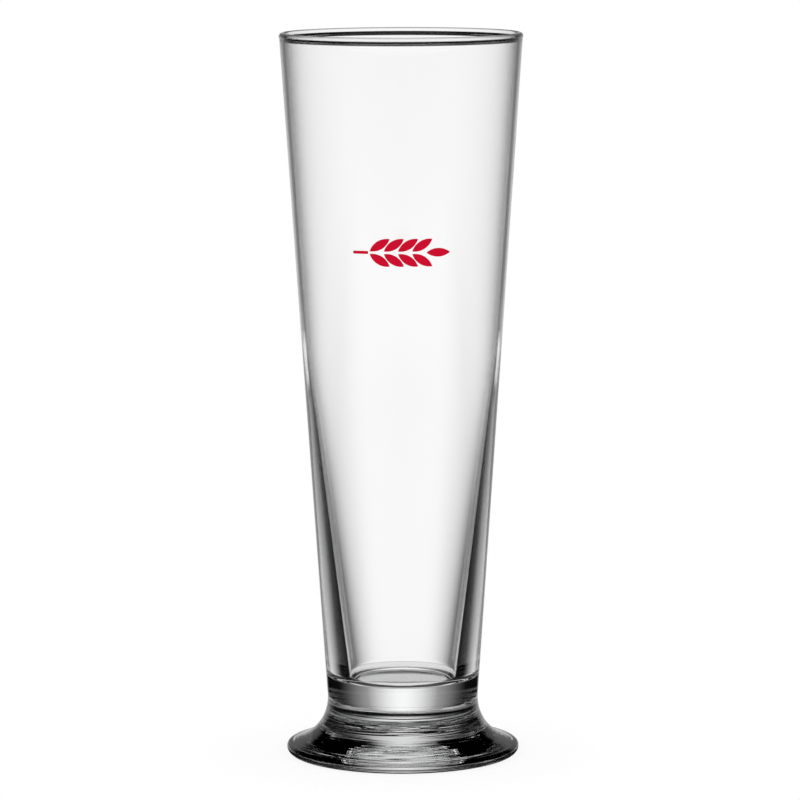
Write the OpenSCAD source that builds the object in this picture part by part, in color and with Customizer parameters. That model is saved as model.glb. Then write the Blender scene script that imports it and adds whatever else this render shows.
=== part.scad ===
// Footed pilsner glass: a tapered bowl with a heavy solid bottom, welded to a
// flared pressed foot, with a fired enamel ear of barley on the front of the bowl.
// Units are millimetres. The glass stands on z = 0, its axis is Z and its front faces -Y.

/* [Bowl] */
// Height from the table to the top of the rim
glass_h = 220; // [200:1:240]
// Outer diameter across the rounded rim
rim_d = 73.6; // [66:0.2:82]
// Outer diameter of the bowl where the foot is welded on
neck_d = 46; // [40:0.2:52]
// Thickness of the upper wall
wall_t = 1.4; // [1:0.1:2.4]
// How far the rim's rounded bead stands out past the wall's outer face
bead_out = 0.15; // [0.05:0.05:0.4]
// How far the bead stands in past the wall's inner face
bead_in = 0.65; // [0.1:0.05:0.8]
// Radius of the hollow that blends the bead into the wall on either side
bead_blend_r = 1; // [0.5:0.1:2]
// Height above the table where the lower wall starts to thicken
bend_z = 119; // [90:1:150]
// Diameter of the cavity at its floor, before the corner is rounded
floor_d = 32.6; // [24:0.2:36]
// Radius of the rounded corner between the cavity's floor and its wall
floor_corner_r = 3; // [1:0.25:6]
// Solid glass between the cavity's floor and the weld
sham_t = 4.8; // [3:0.2:14]

/* [Foot] */
// Height of the foot, from the table to the weld
foot_h = 18; // [13:0.5:24]
// Outer diameter of the foot
foot_d = 71; // [62:0.5:80]
// Height of the foot's widest line above the table, and radius of the edge below it
edge_h = 2; // [1.5:0.1:3]
// Radius of the edge above the widest line
edge_r = 1.2; // [0.6:0.1:1.5]
// Width of the flat ring that the glass stands on
bearing_w = 3; // [1.5:0.25:6]
// Height of the hollow in the middle of the underside
dish_h = 2.5; // [1:0.25:5]

/* [Enamel print] */
// Height of the middle of the print above the table
print_z = 156.5; // [130:0.5:185]
// Thickness of the fired enamel
print_t = 0.12; // [0.06:0.02:0.3]
// Pairs of grains on the ear
grain_pairs = 4; // [2:1:5]
// Length of one grain
grain_l = 7; // [5:0.25:8]
// Width of one grain
grain_w = 2.6; // [1.8:0.1:2.8]
// Distance from one pair of grains to the next
grain_pitch = 4.2; // [4:0.1:5]
// Lean of the grains away from the stalk, in degrees
grain_tilt = 32; // [30:1:40]
// Distance from the ear's middle line to the foot of each grain
grain_stand = 0.4; // [0.3:0.05:0.8]
// Length of the bare stalk
stalk_l = 4.5; // [3:0.25:9]
// Width of the stalk
stalk_w = 0.9; // [0.5:0.1:1.4]
// Bare glass between the stalk and the first pair of grains
stalk_gap = 0.4; // [0.3:0.1:1]

/* [Hidden] */
$fn = 144;

// How far a cutting shape runs past what it cuts
overrun = 1;

glass_tint = [0.86, 0.90, 0.89, 0.45];
foot_tint = [0.70, 0.75, 0.74, 0.55];
enamel_red = [0.84, 0.00, 0.16];

rim_r = rim_d / 2;
neck_r = neck_d / 2;
foot_r = foot_d / 2;
lip_r = (wall_t + bead_out + bead_in) / 2;
floor_z = foot_h + sham_t;
floor_r = floor_d / 2;

// The rim is a round bead, and the wall's outer and inner face run past its middle
lip_c = [rim_r - lip_r, glass_h - lip_r];
face_out = lip_r - bead_out;
face_in = lip_r - bead_in;
neck_p = [neck_r, foot_h];
neck_to_lip = lip_c - neck_p;
wall_a = atan2(neck_to_lip[0], neck_to_lip[1]) + asin(face_out / norm(neck_to_lip));
wall_dir = [sin(wall_a), cos(wall_a)];
wall_out = [cos(wall_a), -sin(wall_a)];
wall_top_out = lip_c + face_out * wall_out;
wall_top_in = lip_c - face_in * wall_out;

// The lower inner wall leans in from the bend to the floor
bend_p = wall_top_in - wall_dir * (wall_top_in[1] - bend_z) / wall_dir[1];
lower_a = atan2(bend_p[0] - floor_r, bend_z - floor_z);
corner_run = floor_corner_r * tan(45 - lower_a / 2);
corner_c = [floor_r - corner_run, floor_z + floor_corner_r];
corner_wall_p = [floor_r, floor_z] + corner_run * [sin(lower_a), cos(lower_a)];

// The flare is one arc, which leaves the wall at the weld and runs into the foot's edge
edge_c = [foot_r - edge_r, edge_h];
neck_to_edge = edge_c - neck_p;
flare_r = (neck_to_edge * neck_to_edge - pow(edge_r, 2)) / (2 * (neck_to_edge * wall_out + edge_r));
flare_c = neck_p + flare_r * wall_out;
edge_to_flare = flare_c - edge_c;
flare_end = edge_c + edge_r * edge_to_flare / norm(edge_to_flare);

// The underside is a shallow hollow of a sphere inside the ring that bears on the table
bearing_r = foot_r - edge_h;
dish_r = bearing_r - bearing_w;
dish_sphere_r = (pow(dish_r, 2) + pow(dish_h, 2)) / (2 * dish_h);

ear_l = stalk_l + stalk_gap + grain_pairs * grain_pitch + grain_l;
grain_arc_r = (pow(grain_l, 2) + pow(grain_w, 2)) / (4 * grain_w);

// Middle of the hollow arc that touches the bead and one face of the wall, outside or inside
function blend_c(face, side) = lip_c + side * (face + bead_blend_r) * wall_out
    - sqrt(pow(lip_r + bead_blend_r, 2) - pow(face + bead_blend_r, 2)) * wall_dir;

// Glass of the bowl up to the middle of its rim: corners to the middles of the hollow arcs, less the arcs
module bowl_outline() {
    blend_out_c = blend_c(face_out, 1);
    blend_in_c = blend_c(face_in, -1);
    difference() {
        polygon([[0, foot_h], neck_p, blend_out_c - bead_blend_r * wall_out, blend_out_c, lip_c,
            blend_in_c, blend_in_c + bead_blend_r * wall_out, bend_p, corner_wall_p, corner_c,
            [corner_c[0], floor_z], [0, floor_z]]);
        for (c = [blend_out_c, blend_in_c]) translate(c) circle(r = bead_blend_r);
        translate(corner_c) circle(r = floor_corner_r);
    }
}

module bowl() {
    color(glass_tint) rotate_extrude() {
        bowl_outline();
        translate(lip_c) circle(r = lip_r);
    }
}

// The half of a disc above its middle, or below it
module half_disc(r, side) {
    intersection() {
        circle(r = r);
        translate([-r, side > 0 ? 0 : -r]) square([2 * r, r]);
    }
}

module foot_outline() {
    difference() {
        polygon([[0, 0], [bearing_r, 0], [bearing_r, edge_h], edge_c, flare_end, flare_c,
            neck_p, [0, foot_h]]);
        translate(flare_c) circle(r = flare_r);
    }
    translate(edge_c) half_disc(edge_r, 1);
    translate([bearing_r, edge_h]) half_disc(edge_h, -1);
}

module foot() {
    color(foot_tint) rotate_extrude() difference() {
        foot_outline();
        translate([0, dish_h - dish_sphere_r]) circle(r = dish_sphere_r);
    }
}

// One grain: the lens where two equal discs overlap, lying along X from the origin
module grain() {
    translate([grain_l / 2, 0]) intersection_for (side = [-1, 1])
        translate([0, side * (grain_arc_r - grain_w / 2)]) circle(r = grain_arc_r);
}

// The ear lies along X with its middle at the origin
module barley_ear() {
    translate([-ear_l / 2, 0]) {
        translate([0, -stalk_w / 2]) square([stalk_l, stalk_w]);
        translate([stalk_l + stalk_gap, 0]) {
            for (pair = [0 : grain_pairs - 1], side = [-1, 1])
                translate([pair * grain_pitch, side * grain_stand]) rotate(side * grain_tilt) grain();
            translate([grain_pairs * grain_pitch, 0]) grain();
        }
    }
}

// The bowl's outer cone from the weld to the rim, made fatter by a skin
module bowl_cone(skin) {
    translate([0, 0, foot_h]) cylinder(h = wall_top_out[1] - foot_h,
        r1 = neck_r + skin / wall_dir[1], r2 = wall_top_out[0] + skin / wall_dir[1]);
}

module enamel_print() {
    color(enamel_red) intersection() {
        difference() {
            bowl_cone(print_t);
            bowl_cone(0);
        }
        translate([0, 0, print_z]) rotate([90, 0, 0])
            linear_extrude(height = rim_r + overrun) barley_ear();
    }
}

bowl();
foot();
enamel_print();
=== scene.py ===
"""Looks of a footed pilsner glass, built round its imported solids.

Lengths are metres and angles are degrees, unless a name or a docstring says otherwise. The glass stands on
z = 0 with its axis on Z, and its printed front faces -Y.
"""

from __future__ import annotations

import logging
import math
from dataclasses import dataclass, field
from enum import Enum

import bpy
import numpy as np
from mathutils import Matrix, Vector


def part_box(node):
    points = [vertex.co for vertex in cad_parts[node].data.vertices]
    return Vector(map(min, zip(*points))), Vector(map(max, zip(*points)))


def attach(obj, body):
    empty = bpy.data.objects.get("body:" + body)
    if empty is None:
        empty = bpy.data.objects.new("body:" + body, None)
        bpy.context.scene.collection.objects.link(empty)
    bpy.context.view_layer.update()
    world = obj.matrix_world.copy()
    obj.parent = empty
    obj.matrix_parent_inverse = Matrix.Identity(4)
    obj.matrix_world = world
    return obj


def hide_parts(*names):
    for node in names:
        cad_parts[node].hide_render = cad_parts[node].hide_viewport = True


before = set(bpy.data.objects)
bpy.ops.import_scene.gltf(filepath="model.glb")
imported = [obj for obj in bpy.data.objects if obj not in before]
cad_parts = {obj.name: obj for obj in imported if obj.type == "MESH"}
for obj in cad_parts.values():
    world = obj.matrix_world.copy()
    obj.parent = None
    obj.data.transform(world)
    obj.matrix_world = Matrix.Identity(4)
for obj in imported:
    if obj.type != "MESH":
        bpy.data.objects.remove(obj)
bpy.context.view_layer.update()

MM = 0.001
BODY = "root"
WELD = "weld"
SAME_POINT = 1e-7
SAME_PLANE = 1e-6
SAME_HEIGHT = 1e-9

log = logging.getLogger("pilsner_glass")


class Slot(Enum):
    """The record's material slots."""

    BOWL = "bowl_glass"
    FOOT = "foot_glass"
    ENAMEL = "red_enamel"


def to_linear(code: str) -> tuple[float, float, float, float]:
    """Turns an sRGB hex colour into linear light.

    Args:
        code: Six hex digits after a hash, such as "#cb002b".

    Returns:
        Linear red, green, blue and an alpha of 1.
    """
    srgb = np.array([int(code[i:i + 2], 16) for i in (1, 3, 5)]) / 255
    low, high = srgb / 12.92, ((srgb + 0.055) / 1.055) ** 2.4
    return (*np.where(srgb <= 0.04045, low, high).tolist(), 1.0)


def add_node(tree: bpy.types.NodeTree, kind: str, inputs: dict[str | int, object] | None = None,
             **settings: object) -> bpy.types.Node:
    """Adds a node with its settings and links.

    Args:
        tree: Node tree that gets the node.
        kind: The node's Blender type name.
        inputs: Socket name or index to a value, or to the output socket that feeds it.
        **settings: Plain properties of the node.

    Returns:
        The new node.
    """
    node = tree.nodes.new(kind)
    for name, value in settings.items():
        setattr(node, name, value)
    for name, value in (inputs or {}).items():
        if isinstance(value, bpy.types.NodeSocket):
            tree.links.new(value, node.inputs[name])
        else:
            node.inputs[name].default_value = value
    return node


def line(start: tuple[float, float], end: tuple[float, float], count: int) -> np.ndarray:
    """Points at even steps on a straight run, as (count, 2)."""
    return np.linspace(start, end, count)


def arc(centre: tuple[float, float], radius: float, start: float, end: float, count: int) -> np.ndarray:
    """Points on a circular arc.

    Args:
        centre: Middle of the circle, as radius from the axis and height.
        radius: Radius of the circle.
        start: Angle of the first point from the outward direction, in degrees.
        end: Angle of the last point.
        count: Number of points.

    Returns:
        The points as (count, 2): centre + radius * (cos, sin) of evenly spaced angles.
    """
    angle = np.radians(np.linspace(start, end, count))
    return np.asarray(centre) + radius * np.stack([np.cos(angle), np.sin(angle)], axis=1)


def hold(run: np.ndarray, reach: float = 0.02 * MM) -> np.ndarray:
    """Adds a point close to each end of a run, so that smooth shading doesn't bleed round a corner there."""
    first, last = run[1] - run[0], run[-2] - run[-1]
    near = run[[0]] + reach * first / np.linalg.norm(first)
    far = run[[-1]] + reach * last / np.linalg.norm(last)
    return np.concatenate([run[:1], near, run[1:-1], far, run[-1:]])


def join(*runs: np.ndarray) -> np.ndarray:
    """Joins runs of points end to end and drops a point that repeats the one before it."""
    points = np.concatenate([hold(run) for run in runs])
    step = np.linalg.norm(np.diff(points, axis=0), axis=1)
    return points[np.concatenate([[True], step > SAME_POINT])]


def make_object(name: str, co: np.ndarray, faces: list[np.ndarray]) -> bpy.types.Object:
    """Puts arrays into a smooth mesh object at the origin.

    Args:
        name: The piece's name.
        co: Vertex places as (n, 3).
        faces: Arrays of vertex indices, one array per number of corners.

    Returns:
        The object, linked to the scene.
    """
    mesh = bpy.data.meshes.new(name)
    corners = np.concatenate([f.shape[1] * np.ones(len(f), int) for f in faces])
    loops = np.concatenate([f.ravel() for f in faces])
    mesh.vertices.add(len(co))
    mesh.vertices.foreach_set("co", co.astype(np.float32).ravel())
    mesh.loops.add(len(loops))
    mesh.loops.foreach_set("vertex_index", loops.astype(np.int32))
    mesh.polygons.add(len(corners))
    mesh.polygons.foreach_set("loop_start", np.concatenate([[0], np.cumsum(corners)[:-1]]).astype(np.int32))
    mesh.polygons.foreach_set("use_smooth", np.ones(len(corners), bool))
    mesh.update(calc_edges=True)
    mesh.validate()
    piece = bpy.data.objects.new(name, mesh)
    bpy.context.scene.collection.objects.link(piece)
    return piece


def outward(outline: np.ndarray) -> np.ndarray:
    """Unit normals of an outline that runs with its body on the left: each tangent, turned to the right."""
    tangent = np.gradient(outline, axis=0)
    tangent /= np.linalg.norm(tangent, axis=1, keepdims=True)
    return np.stack([tangent[:, 1], -tangent[:, 0]], axis=1)


def length_along(outline: np.ndarray) -> np.ndarray:
    """Distance from an outline's first point to each of its points."""
    return np.concatenate([[0], np.cumsum(np.linalg.norm(np.diff(outline, axis=0), axis=1))])


def ease(value: np.ndarray, start: float, end: float) -> np.ndarray:
    """Smooth step: 0 at start, 1 at end, and 3x^2 - 2x^3 between them."""
    x = np.clip((value - start) / (end - start), 0, 1)
    return x * x * (3 - 2 * x)


def once_round(turns: int) -> np.ndarray:
    """Even angles once round, in radians, with the last one a step short of the first."""
    return np.linspace(0, 2 * np.pi, turns, endpoint=False)


def lathe(name: str, outline: np.ndarray, relief: np.ndarray, weld_height: float) -> bpy.types.Object:
    """Turns an outline about Z into a closed body.

    The surface is (r cos t, r sin t, z), with t once round and r and z from the outline, moved along its
    outward normal by the relief. The outline's first and last points lie on the axis and become single
    poles. Faces that lie wholly on the weld's plane are marked in the face attribute "weld".

    Args:
        name: The piece's name.
        outline: Points of radius and height, which run with the body on their left.
        relief: Height of the skin above the outline, as (points, turns).
        weld_height: Height of the plane where two bodies are fused.

    Returns:
        The object, with its faces pointing outwards.
    """
    turns = relief.shape[1]
    angle = once_round(turns)
    rz = outline[:, None, :] + relief[..., None] * outward(outline)[:, None, :]
    ring = np.stack([rz[..., 0] * np.cos(angle), rz[..., 0] * np.sin(angle), rz[..., 1]], axis=-1)[1:-1]
    poles = np.array([[0, 0, outline[0, 1]], [0, 0, outline[-1, 1]]])
    co = np.concatenate([ring.reshape(-1, 3), poles])
    rows = len(ring)
    index = np.arange(rows * turns).reshape(rows, turns)
    here, there = index[:-1], index[1:]
    quads = np.stack([here, np.roll(here, -1, 1), np.roll(there, -1, 1), there], axis=-1).reshape(-1, 4)
    first = np.stack([np.roll(index[0], -1), index[0], np.full(turns, rows * turns)], axis=-1)
    last = np.stack([index[-1], np.roll(index[-1], -1), np.full(turns, rows * turns + 1)], axis=-1)
    faces = [quads, first, last]
    weld = np.concatenate([np.all(np.abs(co[f, 2] - weld_height) < SAME_PLANE, axis=1) for f in faces])
    body = make_object(name, co, faces)
    body.data.attributes.new(WELD, "FLOAT", "FACE").data.foreach_set("value", weld.astype(np.float32))
    return body


@dataclass(frozen=True)
class Ripple:
    """Waves that hot glass froze with, which run along an outline and drift round the axis."""

    seed: int
    count: int
    pitch: tuple[float, float]
    drift: int
    height: float

    def relief(self, along: np.ndarray, angle: np.ndarray) -> np.ndarray:
        """Sums cosine waves of seeded random pitch, drift and phase.

        Each wave is cos(2 pi along / pitch + drift * angle + phase) with a whole number of drift, so that it
        closes on itself. The sum is scaled to the asked height, as root mean square.

        Args:
            along: Distance along the outline, one per point.
            angle: Angle round the axis in radians, one per turn.

        Returns:
            Heights as (points, turns).
        """
        rng = np.random.default_rng(self.seed)
        pitch = rng.uniform(*self.pitch, self.count)
        drift = rng.integers(-self.drift, self.drift + 1, self.count)
        phase = rng.uniform(0, 2 * np.pi, self.count)
        wave = np.cos(2 * np.pi * along[:, None, None] / pitch + drift * angle[None, :, None] + phase)
        return self.height * wave.sum(axis=2) / math.sqrt(self.count / 2)


@dataclass(frozen=True)
class ClearGlass:
    """Soda-lime glass, blown or pressed and then fire-polished: colourless, with a grey-green depth.

    The polished skin gives sharp reflections, and the slow swell that the hot glass froze with bends what
    is seen through it a little. The absorption shows only where the path in the glass is long. Where two
    bodies were fused hot there is glass on both sides, so light passes the weld's faces unbent.
    """

    name: str
    swell_mm: float
    swell_height_mm: float
    tint: str = "#fefefe"
    depth_tint: str = "#e2e5e4"
    absorption_per_m: float = 6.0
    ior: float = 1.52
    swell_detail: float = 1.0
    swell_roughness: float = 0.4

    def material(self) -> bpy.types.Material:
        """Builds the glass shader with its swell as bump, its absorption as volume and a clear weld."""
        made = bpy.data.materials.new(self.name)
        made.use_nodes = True
        tree = made.node_tree
        tree.nodes.clear()
        place = add_node(tree, "ShaderNodeTexCoord")
        swell = add_node(tree, "ShaderNodeTexNoise", {
            "Vector": place.outputs["Object"], "Scale": 1 / (self.swell_mm * MM),
            "Detail": self.swell_detail, "Roughness": self.swell_roughness})
        bump = add_node(tree, "ShaderNodeBump", {
            "Height": swell.outputs[0], "Distance": self.swell_height_mm * MM, "Strength": 1.0})
        weld = add_node(tree, "ShaderNodeAttribute", attribute_name=WELD)
        there = add_node(tree, "ShaderNodeMath", {0: 1.0, 1: weld.outputs["Fac"]}, operation="SUBTRACT")
        skin = add_node(tree, "ShaderNodeBsdfPrincipled", {
            "Base Color": to_linear(self.tint), "Roughness": 0.0, "IOR": self.ior,
            "Transmission Weight": 1.0, "Alpha": there.outputs[0], "Normal": bump.outputs[0]})
        depth = add_node(tree, "ShaderNodeVolumeAbsorption", {
            "Color": to_linear(self.depth_tint), "Density": self.absorption_per_m})
        add_node(tree, "ShaderNodeOutputMaterial", {
            "Surface": skin.outputs[0], "Volume": depth.outputs[0]})
        return made


@dataclass(frozen=True)
class FiredEnamel:
    """Opaque screen-printed enamel, fired to a gloss: an even red with a faint orange-peel skin."""

    name: str = "fired_red_enamel"
    red: str = "#cb002b"
    deep_red: str = "#b90026"
    patch_mm: float = 2.4
    peel_mm: float = 0.35
    peel_height_mm: float = 0.004
    patch_detail: float = 2.0
    peel_detail: float = 1.0
    roughness: float = 0.28
    ior: float = 1.5
    specular: float = 0.05

    def material(self) -> bpy.types.Material:
        """Builds the enamel shader: patchy red ink under a glossy skin."""
        made = bpy.data.materials.new(self.name)
        made.use_nodes = True
        tree = made.node_tree
        tree.nodes.clear()
        place = add_node(tree, "ShaderNodeTexCoord")
        patches = add_node(tree, "ShaderNodeTexNoise", {
            "Vector": place.outputs["Object"], "Scale": 1 / (self.patch_mm * MM),
            "Detail": self.patch_detail})
        ink = add_node(tree, "ShaderNodeMix", {
            0: patches.outputs[0], 6: to_linear(self.red), 7: to_linear(self.deep_red)}, data_type="RGBA")
        peel = add_node(tree, "ShaderNodeTexNoise", {
            "Vector": place.outputs["Object"], "Scale": 1 / (self.peel_mm * MM),
            "Detail": self.peel_detail})
        bump = add_node(tree, "ShaderNodeBump", {
            "Height": peel.outputs[0], "Distance": self.peel_height_mm * MM, "Strength": 1.0})
        skin = add_node(tree, "ShaderNodeBsdfPrincipled", {
            "Base Color": ink.outputs[2], "Roughness": self.roughness, "IOR": self.ior,
            "Specular IOR Level": self.specular, "Normal": bump.outputs[0]})
        add_node(tree, "ShaderNodeOutputMaterial", {"Surface": skin.outputs[0]})
        return made


@dataclass
class Bowl:
    """The tapered vessel with its rounded rim, its thickening lower wall and its solid bottom."""

    neck_radius: float = 23 * MM
    wall: float = 1.4 * MM
    bead_out: float = 0.15 * MM
    bead_in: float = 0.65 * MM
    bead_blend: float = 1 * MM
    bend_height: float = 119 * MM
    bend_radius: float = 400 * MM
    floor_radius: float = 16.3 * MM
    corner_radius: float = 3 * MM
    sham: float = 4.8 * MM
    turns: int = 256
    weld_height: float = field(init=False)
    rim_height: float = field(init=False)
    rim_radius: float = field(init=False)
    bead: float = field(init=False)
    wall_angle: float = field(init=False)

    def __post_init__(self) -> None:
        """Takes the weld, the rim and the wall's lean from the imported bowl's box."""
        low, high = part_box("bowl")
        self.weld_height, self.rim_height, self.rim_radius = low.z, high.z, high.x
        self.bead = (self.wall + self.bead_out + self.bead_in) / 2
        across = self.rim_radius - self.bead - self.neck_radius
        up = self.rim_height - self.bead - self.weld_height
        outside = self.bead - self.bead_out
        self.wall_angle = math.degrees(math.atan2(across, up) + math.asin(outside / math.hypot(across, up)))

    def radius_at(self, height: np.ndarray) -> np.ndarray:
        """Outer radius of the wall at a height."""
        return self.neck_radius + math.tan(math.radians(self.wall_angle)) * (height - self.weld_height)

    def outline(self) -> np.ndarray:
        """Outline from the middle of the weld, up the outside, over the rim and down the cavity.

        The rim is a round bead. On each side a hollow arc touches both the bead and the wall's face. The
        inner wall bends from its upper to its lower lean along a long arc, and a small arc rounds the corner
        at the floor.

        Returns:
            Points of radius and height, from axis to axis, with the body on their left.
        """
        lean = math.radians(self.wall_angle)
        out = np.array([math.cos(lean), -math.sin(lean)])
        up = np.array([math.sin(lean), math.cos(lean)])
        lip = np.array([self.rim_radius - self.bead, self.rim_height - self.bead])
        face_out, face_in = self.bead - self.bead_out, self.bead - self.bead_in
        reach = self.bead + self.bead_blend
        rise_out, rise_in = (
            math.sqrt(reach ** 2 - (face + self.bead_blend) ** 2) for face in (face_out, face_in))
        blend_out = lip + (face_out + self.bead_blend) * out - rise_out * up
        blend_in = lip - (face_in + self.bead_blend) * out - rise_in * up
        turn_out = math.degrees(math.atan2(rise_out, face_out + self.bead_blend))
        turn_in = math.degrees(math.atan2(rise_in, face_in + self.bead_blend))
        top_in = lip - face_in * out
        bend = top_in - up * (top_in[1] - self.bend_height) / up[1]
        floor_height = self.weld_height + self.sham
        corner = np.array([self.floor_radius, floor_height])
        lower = (bend - corner) / np.linalg.norm(bend - corner)
        lower_lean = math.atan2(*lower)
        half_bend = self.bend_radius * math.tan((lower_lean - lean) / 2)
        bend_centre = bend + half_bend * up - self.bend_radius * out
        run = self.corner_radius * math.tan(math.pi / 4 - lower_lean / 2)
        round_centre = corner + np.array([-run, self.corner_radius])
        neck = (self.neck_radius, self.weld_height)
        angle, lower_angle = self.wall_angle, math.degrees(lower_lean)
        return join(
            line((0, self.weld_height), neck, 24),
            line(neck, blend_out - self.bead_blend * out, 90),
            arc(blend_out, self.bead_blend, 180 - angle, 180 - angle - turn_out, 10),
            arc(lip, self.bead, -angle - turn_out, 180 - angle + turn_in, 48),
            arc(blend_in, self.bead_blend, turn_in - angle, -angle, 12),
            line(blend_in + self.bead_blend * out, bend + half_bend * up, 60),
            arc(bend_centre, self.bend_radius, -angle, -lower_angle, 12),
            line(bend - half_bend * lower, corner + run * lower, 60),
            arc(round_centre, self.corner_radius, -lower_angle, -90, 16),
            line((round_centre[0], floor_height), (0, floor_height), 24),
        )

    def build(self) -> bpy.types.Object:
        """Makes the bowl as one closed lathe body."""
        outline = self.outline()
        return lathe("bowl_glass_body", outline, np.zeros((len(outline), self.turns)), self.weld_height)


@dataclass
class Foot:
    """The pressed foot: a flare from the weld to a rounded edge, and a hollow underside."""

    neck_radius: float
    wall_angle: float
    edge_height: float = 2 * MM
    edge_radius: float = 1.2 * MM
    bearing_width: float = 3 * MM
    dish_height: float = 2.5 * MM
    seam: float = 0.01 * MM
    ripple_start: tuple[float, float] = (2.5 * MM, 9 * MM)
    ripple_end: float = 3 * MM
    streaks: Ripple = Ripple(seed=11, count=30, pitch=(0.6 * MM, 2.2 * MM), drift=5, height=0.018 * MM)
    turns: int = 256
    weld_height: float = field(init=False)
    radius: float = field(init=False)

    def __post_init__(self) -> None:
        """Takes the weld's height, less a hair's seam, and the foot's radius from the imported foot's box."""
        _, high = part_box("foot")
        self.weld_height, self.radius = high.z - self.seam, high.x

    def outline(self) -> np.ndarray:
        """Outline from the middle of the underside, round the edge and up the flare to the weld.

        Returns:
            Points of radius and height, from axis to axis, with the body on their left.
        """
        lean = math.radians(self.wall_angle)
        out = np.array([math.cos(lean), -math.sin(lean)])
        neck = np.array([self.neck_radius, self.weld_height])
        edge = np.array([self.radius - self.edge_radius, self.edge_height])
        gap = edge - neck
        flare_radius = (gap @ gap - self.edge_radius ** 2) / (2 * (gap @ out + self.edge_radius))
        flare = neck + flare_radius * out
        turn = math.degrees(math.atan2(*(flare - edge)[::-1]))
        bearing = self.radius - self.edge_height
        dish = bearing - self.bearing_width
        sphere = (dish ** 2 + self.dish_height ** 2) / (2 * self.dish_height)
        opening = math.degrees(math.asin(dish / sphere))
        return join(
            arc((0, self.dish_height - sphere), sphere, 90, 90 - opening, 60),
            line((dish, 0), (bearing, 0), 6),
            arc((bearing, self.edge_height), self.edge_height, -90, 0, 20),
            arc(edge, self.edge_radius, 0, turn, 16),
            arc(flare, flare_radius, 180 + turn, 180 - self.wall_angle, 220),
            line(neck, (0, self.weld_height), 24),
        )

    def relief(self, outline: np.ndarray) -> np.ndarray:
        """Height of the chill ripples on the flare: drifting waves that grow some way below the weld.

        Args:
            outline: The foot's outline.

        Returns:
            Heights as (points, turns), zero at the weld, at the edge and on the underside.
        """
        along = length_along(outline)
        weld = along[np.argmax(outline[:, 1] > self.weld_height - SAME_HEIGHT)]
        below = weld - along
        reach = below[np.argmax(outline[:, 0])]
        shape = ease(below, *self.ripple_start) * (1 - ease(below, reach - self.ripple_end, reach))
        return shape[:, None] * self.streaks.relief(along, once_round(self.turns))

    def build(self) -> bpy.types.Object:
        """Makes the foot as one closed lathe body."""
        outline = self.outline()
        return lathe("foot_glass_body", outline, self.relief(outline), self.weld_height)


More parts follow.
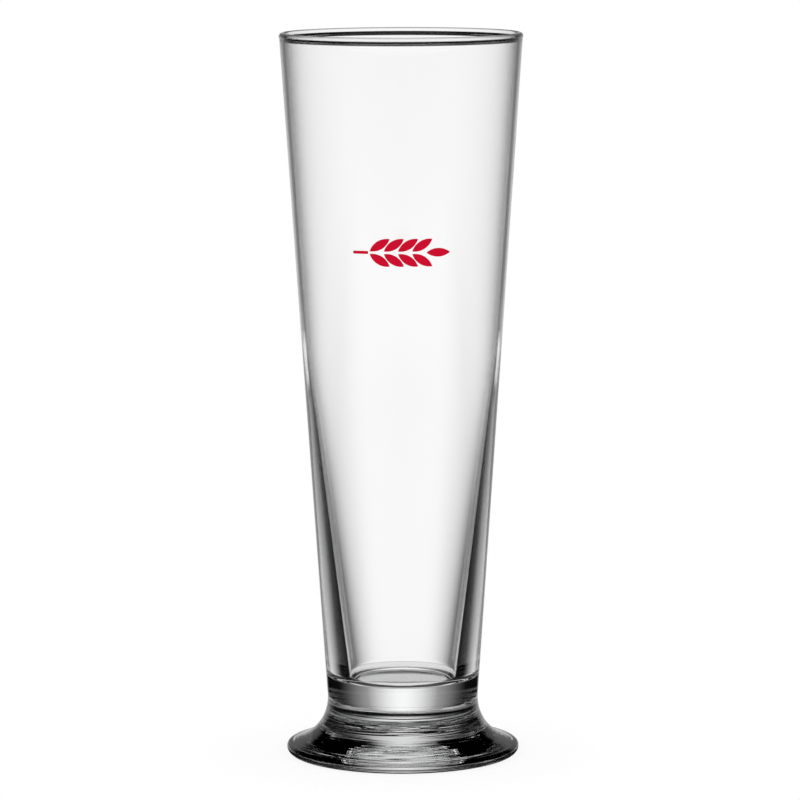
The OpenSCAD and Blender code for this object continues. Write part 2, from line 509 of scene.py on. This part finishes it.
@dataclass
class BarleyEar:
    """The fired enamel print: an ear of barley that lies across the front of the bowl."""

    bowl: Bowl
    height: float = 156.5 * MM
    film: float = 0.12 * MM
    sunk: float = 0.01 * MM
    pairs: int = 4
    grain_length: float = 7 * MM
    grain_width: float = 2.6 * MM
    pitch: float = 4.2 * MM
    tilt: float = 32
    stand: float = 0.4 * MM
    stalk_length: float = 4.5 * MM
    stalk_width: float = 0.9 * MM
    stalk_gap: float = 0.4 * MM
    along: int = 41
    around: int = 48
    shoulder: float = 0.2
    crown: float = 0.5
    tip_power: int = 24
    stalk_power: int = 40
    stalk_round: float = 1 / 4

    def patch(self, half_width: np.ndarray, length: float, turn: float,
              foot: tuple[float, float]) -> np.ndarray:
        """One patch of film on the bowl.

        A flat ring with round shoulders is carried along the patch, as wide as half_width says, and bent on
        to the bowl's cone along Y.

        Args:
            half_width: Half the patch's width at even steps along it, zero at both ends.
            length: Length of the patch.
            turn: Angle of the patch from the ear's line.
            foot: Start of the patch from the ear's middle, along and across the ear.

        Returns:
            Places as (along, around, 3).
        """
        t = np.linspace(0, 1, self.along)[:, None]
        phase = once_round(self.around)[None]
        across = half_width[:, None] * np.sign(np.cos(phase)) * np.abs(np.cos(phase)) ** self.shoulder
        taper = 1 - np.abs(2 * t - 1) ** self.tip_power
        lift = self.film * taper * (0.5 + 0.5 * np.sign(np.sin(phase)) * np.abs(np.sin(phase)) ** self.crown)
        along = length * t + 0 * across
        cos, sin = math.cos(math.radians(turn)), math.sin(math.radians(turn))
        x = foot[0] + cos * along - sin * across
        z = self.height + foot[1] + sin * along + cos * across
        radius = self.bowl.radius_at(z) + lift - self.sunk
        return np.stack([x, -np.sqrt(radius ** 2 - x ** 2), z], axis=-1)

    def build(self) -> bpy.types.Object:
        """Makes the stalk and the grains as closed films in one mesh."""
        t = np.linspace(-1, 1, self.along)
        round_end = self.stalk_width / 2 * (1 - np.abs(t) ** self.stalk_power) ** self.stalk_round
        sweep = (self.grain_length ** 2 + self.grain_width ** 2) / (4 * self.grain_width)
        lens = np.sqrt(sweep ** 2 - (t * self.grain_length / 2) ** 2) - (sweep - self.grain_width / 2)
        lens[[0, -1]] = 0
        ear = self.stalk_length + self.stalk_gap + self.pairs * self.pitch + self.grain_length
        start = self.stalk_length + self.stalk_gap - ear / 2
        patches = [self.patch(round_end, self.stalk_length, 0, (-ear / 2, 0))]
        patches += [
            self.patch(lens, self.grain_length, side * self.tilt,
                       (start + pair * self.pitch, side * self.stand))
            for pair in range(self.pairs) for side in (-1, 1)]
        patches.append(self.patch(lens, self.grain_length, 0, (start + self.pairs * self.pitch, 0)))
        return self.close(np.stack(patches))

    def close(self, grids: np.ndarray) -> bpy.types.Object:
        """Joins grids of rings into closed films, with the first and last ring of each drawn into a pole.

        Args:
            grids: Places as (patches, along, around, 3).

        Returns:
            The print's object.
        """
        count, rows, around, _ = grids.shape
        inner = grids[:, 1:-1]
        tips = grids[:, [0, -1]].mean(axis=2)
        co = np.concatenate([inner.reshape(-1, 3), tips.reshape(-1, 3)])
        index = np.arange(count * (rows - 2) * around).reshape(count, rows - 2, around)
        tip = count * (rows - 2) * around + np.arange(count * 2).reshape(count, 2)
        here, there = index[:, :-1], index[:, 1:]
        quads = np.stack([here, there, np.roll(there, -1, 2), np.roll(here, -1, 2)], axis=-1).reshape(-1, 4)
        first = np.stack([index[:, 0], np.roll(index[:, 0], -1, 1),
                          np.repeat(tip[:, :1], around, 1)], axis=-1).reshape(-1, 3)
        last = np.stack([np.roll(index[:, -1], -1, 1), index[:, -1],
                         np.repeat(tip[:, 1:], around, 1)], axis=-1).reshape(-1, 3)
        faces = [quads, first, last]
        return make_object("barley_ear_enamel", co, faces)


@dataclass(frozen=True)
class Panel:
    """A soft panel of the surround, the same to the left and to the right of the glass.

    Angles are from straight behind the glass and from the horizon. A panel with a fold is hung again at
    every two folds round the glass.
    """

    azimuth: tuple[float, float]
    elevation: tuple[float, float]
    level: float
    soft: tuple[float, float] = (8.0, 4.0)
    fold: float = 180.0

    def level_at(self, tree: bpy.types.NodeTree, away: bpy.types.NodeSocket,
                 rise: bpy.types.NodeSocket) -> bpy.types.NodeSocket:
        """Brightness of the panel in a direction: its level, times a smooth step down over each edge.

        Args:
            tree: The world's node tree.
            away: Angle from straight behind the glass, in radians.
            rise: Angle above the horizon, in radians.

        Returns:
            The socket that carries the brightness.
        """
        folded = add_node(tree, "ShaderNodeMath", {0: away, 1: math.radians(self.fold)}, operation="PINGPONG")
        value = self.level
        for angle, span, soft in ((folded.outputs[0], self.azimuth, self.soft[0]),
                                  (rise, self.elevation, self.soft[1])):
            middle, half = math.radians(sum(span) / 2), (span[1] - span[0]) / 2
            off = add_node(tree, "ShaderNodeMath", {0: angle, 1: middle}, operation="SUBTRACT")
            off = add_node(tree, "ShaderNodeMath", {0: off.outputs[0]}, operation="ABSOLUTE")
            value = add_node(tree, "ShaderNodeMapRange", {
                "Value": off.outputs[0], "From Min": math.radians(half - soft / 2),
                "From Max": math.radians(half + soft / 2), "To Min": value, "To Max": 0.0},
                interpolation_type="SMOOTHSTEP").outputs[0]
        return value


@dataclass
class Studio:
    """Camera, pale floor and soft surround."""

    camera_distance: float = 1.326
    camera_height: float = 0.2805
    camera_tilt: float = 7.39
    camera_yaw: float = 0.0055
    camera_roll: float = 0.157
    lens_px: float = 4400.0
    photo_px: float = 800.0
    sensor_mm: float = 36.0
    camera_clip: tuple[float, float] = (0.01, 50)
    floor_span: tuple[float, float] = (0.01, 0.13)
    floor_rings: int = 12
    floor_turns: int = 96
    floor_drop: float = 0.02 * MM
    floor_fade: tuple[float, float] = (0.036, 0.075)
    floor_clear: float = 0.8
    hollow_depth: float = 2.5
    first_depth: float = 0.5
    dim_level: float = 0.003
    hollow_panels: tuple[Panel, ...] = (
        Panel((-16, 16), (-28, 1), 1.0, (26, 4), 45),
        Panel((37, 60), (-28, 1), 1.0, (10, 4), 45),
        Panel((-10, 200), (-28, 1), 0.22),
        Panel((-10, 200), (-110, -28), 0.8),
        Panel((-10, 200), (18, 110), 0.8),
    )
    solid_panels: tuple[Panel, ...] = (
        Panel((-15, 15), (-36, 1), 1.0, (30, 4)),
        Panel((-24, 24), (-36, 1), 0.42, (48, 4)),
        Panel((84, 200), (-36, 1), 1.0, (12, 4)),
        Panel((-10, 200), (-110, -36), 0.5),
    )
    inner_panels: tuple[Panel, ...] = (
        Panel((112, 200), (-24, 3), 0.6, (56, 4)),
        Panel((145, 200), (-70, -20), 0.4, (20, 6)),
        Panel((24, 100), (-14, -4), 0.08),
        Panel((12, 28), (-14, -8.5), 1.0, (6, 3)),
        Panel((-14, 14), (-48, -3), 0.9, (24, 4)),
        Panel((-21, 21), (-30, -15), 0.8, (42, 4)),
        Panel((-20, 20), (21, 75), 0.8, (40, 4)),
        Panel((115, 200), (14, 75), 0.4, (30, 8)),
        Panel((115, 200), (-48, -20), 0.4, (30, 8)),
    )
    outer_panels: tuple[Panel, ...] = (
        Panel((112, 200), (-24, -5), 1.6, (56, 4)),
        Panel((75, 200), (-12.5, -6), 1.6, (60, 3)),
        Panel((-10, 42), (-12.2, 4), 0.6, (30, 1.2)),
        Panel((-10, 36), (2, 22), 0.3, (10, 6)),
    )

    def place_camera(self) -> None:
        """Puts the camera at the photograph's viewing angle."""
        data = bpy.data.cameras.new("camera")
        data.sensor_width = self.sensor_mm
        data.lens = self.sensor_mm * self.lens_px / self.photo_px
        data.clip_start, data.clip_end = self.camera_clip
        camera = bpy.data.objects.new("camera", data)
        camera.location = (0, -self.camera_distance, self.camera_height)
        camera.rotation_euler = np.radians([90 - self.camera_tilt, self.camera_roll, self.camera_yaw])
        bpy.context.scene.collection.objects.link(camera)
        bpy.context.scene.camera = camera

    def lay_floor(self) -> None:
        """Makes the pale floor as a disc that fades out at its edge and takes the foot's shadow."""
        turns, rings = self.floor_turns, self.floor_rings
        angle = once_round(turns)
        radius = np.linspace(*self.floor_span, rings)[:, None]
        ring = np.stack([radius * np.cos(angle), radius * np.sin(angle), 0 * radius * angle], axis=-1)
        index = np.arange(rings * turns).reshape(rings, turns)
        here, there = index[:-1], index[1:]
        quads = np.stack([here, there, np.roll(there, -1, 1), np.roll(here, -1, 1)], axis=-1).reshape(-1, 4)
        fan = np.stack([index[0], np.roll(index[0], -1), np.full(turns, rings * turns)], axis=-1)
        co = np.concatenate([ring.reshape(-1, 3), [[0, 0, 0]]])
        floor = make_object("floor", co, [quads, fan])
        floor.location.z = -self.floor_drop
        made = bpy.data.materials.new("pale_floor")
        made.use_nodes = True
        tree = made.node_tree
        tree.nodes.clear()
        place = add_node(tree, "ShaderNodeTexCoord")
        away = add_node(tree, "ShaderNodeVectorMath", {0: place.outputs["Object"]}, operation="LENGTH")
        fade = add_node(tree, "ShaderNodeMapRange", {
            "Value": away.outputs["Value"], "From Min": self.floor_fade[0], "From Max": self.floor_fade[1],
            "To Min": self.floor_clear, "To Max": 1.0},
            interpolation_type="SMOOTHSTEP")
        pale = add_node(tree, "ShaderNodeBsdfDiffuse", {"Color": to_linear("#ffffff")})
        clear = add_node(tree, "ShaderNodeBsdfTransparent")
        mix = add_node(tree, "ShaderNodeMixShader", {
            0: fade.outputs[0], 1: pale.outputs[0], 2: clear.outputs[0]})
        add_node(tree, "ShaderNodeOutputMaterial", {"Surface": mix.outputs[0]})
        floor.data.materials.append(made)
        floor.visible_transmission = floor.visible_glossy = False

    def light(self) -> None:
        """Lights the glass with a white surround for what is seen through it and soft panels for reflections.

        Camera and diffuse rays see white. The rest see panels in a dark room, chosen by the ray's depths: one
        set through solid glass, one through the hollow bowl, with a white card behind it on each of eight
        sides, one by reflection inside the glass and one by reflection off its outside.
        """
        world = bpy.data.worlds.new("surround")
        bpy.context.scene.world = world
        world.use_nodes = True
        world.cycles.sampling_method = "NONE"
        tree = world.node_tree
        tree.nodes.clear()
        place = add_node(tree, "ShaderNodeTexCoord")
        axes = add_node(tree, "ShaderNodeSeparateXYZ", {0: place.outputs["Generated"]})
        turn = add_node(tree, "ShaderNodeMath", {0: axes.outputs[0], 1: axes.outputs[1]}, operation="ARCTAN2")
        away = add_node(tree, "ShaderNodeMath", {0: turn.outputs[0]}, operation="ABSOLUTE")
        rise = add_node(tree, "ShaderNodeMath", {0: axes.outputs[2]}, operation="ARCSINE")
        levels = []
        for panels in (self.solid_panels, self.hollow_panels, self.inner_panels, self.outer_panels):
            level = self.dim_level
            for panel in panels:
                level = add_node(tree, "ShaderNodeMath", {
                    0: level, 1: panel.level_at(tree, away.outputs[0], rise.outputs[0])},
                    operation="MAXIMUM").outputs[0]
            levels.append(level)
        path = add_node(tree, "ShaderNodeLightPath")
        seen = levels[0]
        for depth, test, bound, level in (
                ("Transmission Depth", "GREATER_THAN", self.hollow_depth, levels[1]),
                ("Glossy Depth", "GREATER_THAN", self.first_depth, levels[2]),
                ("Transmission Depth", "LESS_THAN", self.first_depth, levels[3])):
            past = add_node(tree, "ShaderNodeMath", {0: path.outputs[depth], 1: bound}, operation=test)
            seen = add_node(tree, "ShaderNodeMix", {0: past.outputs[0], 2: seen, 3: level},
                            data_type="FLOAT").outputs[0]
        white = add_node(tree, "ShaderNodeMath", {
            0: path.outputs["Is Camera Ray"], 1: path.outputs["Diffuse Depth"]},
            operation="MAXIMUM", use_clamp=True)
        level = add_node(tree, "ShaderNodeMath", {0: seen, 1: white.outputs[0]}, operation="MAXIMUM")
        back = add_node(tree, "ShaderNodeBackground", {"Color": level.outputs[0], "Strength": 1.0})
        add_node(tree, "ShaderNodeOutputWorld", {"Surface": back.outputs[0]})
        bpy.context.scene.view_settings.view_transform = "Standard"


def main() -> None:
    """Builds the glass, its print and the studio."""
    logging.basicConfig(level=logging.INFO, format="%(name)s: %(message)s")
    studio = Studio()
    studio.place_camera()
    studio.lay_floor()
    studio.light()
    bowl = Bowl()
    foot = Foot(bowl.neck_radius, bowl.wall_angle)
    ear = BarleyEar(bowl)
    dressed = (
        (bowl.build(), "bowl", Slot.BOWL,
         ClearGlass("blown_soda_lime_glass", swell_mm=18, swell_height_mm=0.02)),
        (foot.build(), "foot", Slot.FOOT,
         ClearGlass("pressed_soda_lime_glass", swell_mm=9, swell_height_mm=0.02)),
        (ear.build(), "enamel_print", Slot.ENAMEL, FiredEnamel()),
    )
    for piece, node, slot, finish in dressed:
        piece.data.materials.append(finish.material())
        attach(piece, BODY)
        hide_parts(node)
        log.info("%s stands for %s with %d faces", piece.name, node, len(piece.data.polygons))


if __name__ == "__main__":
    main()
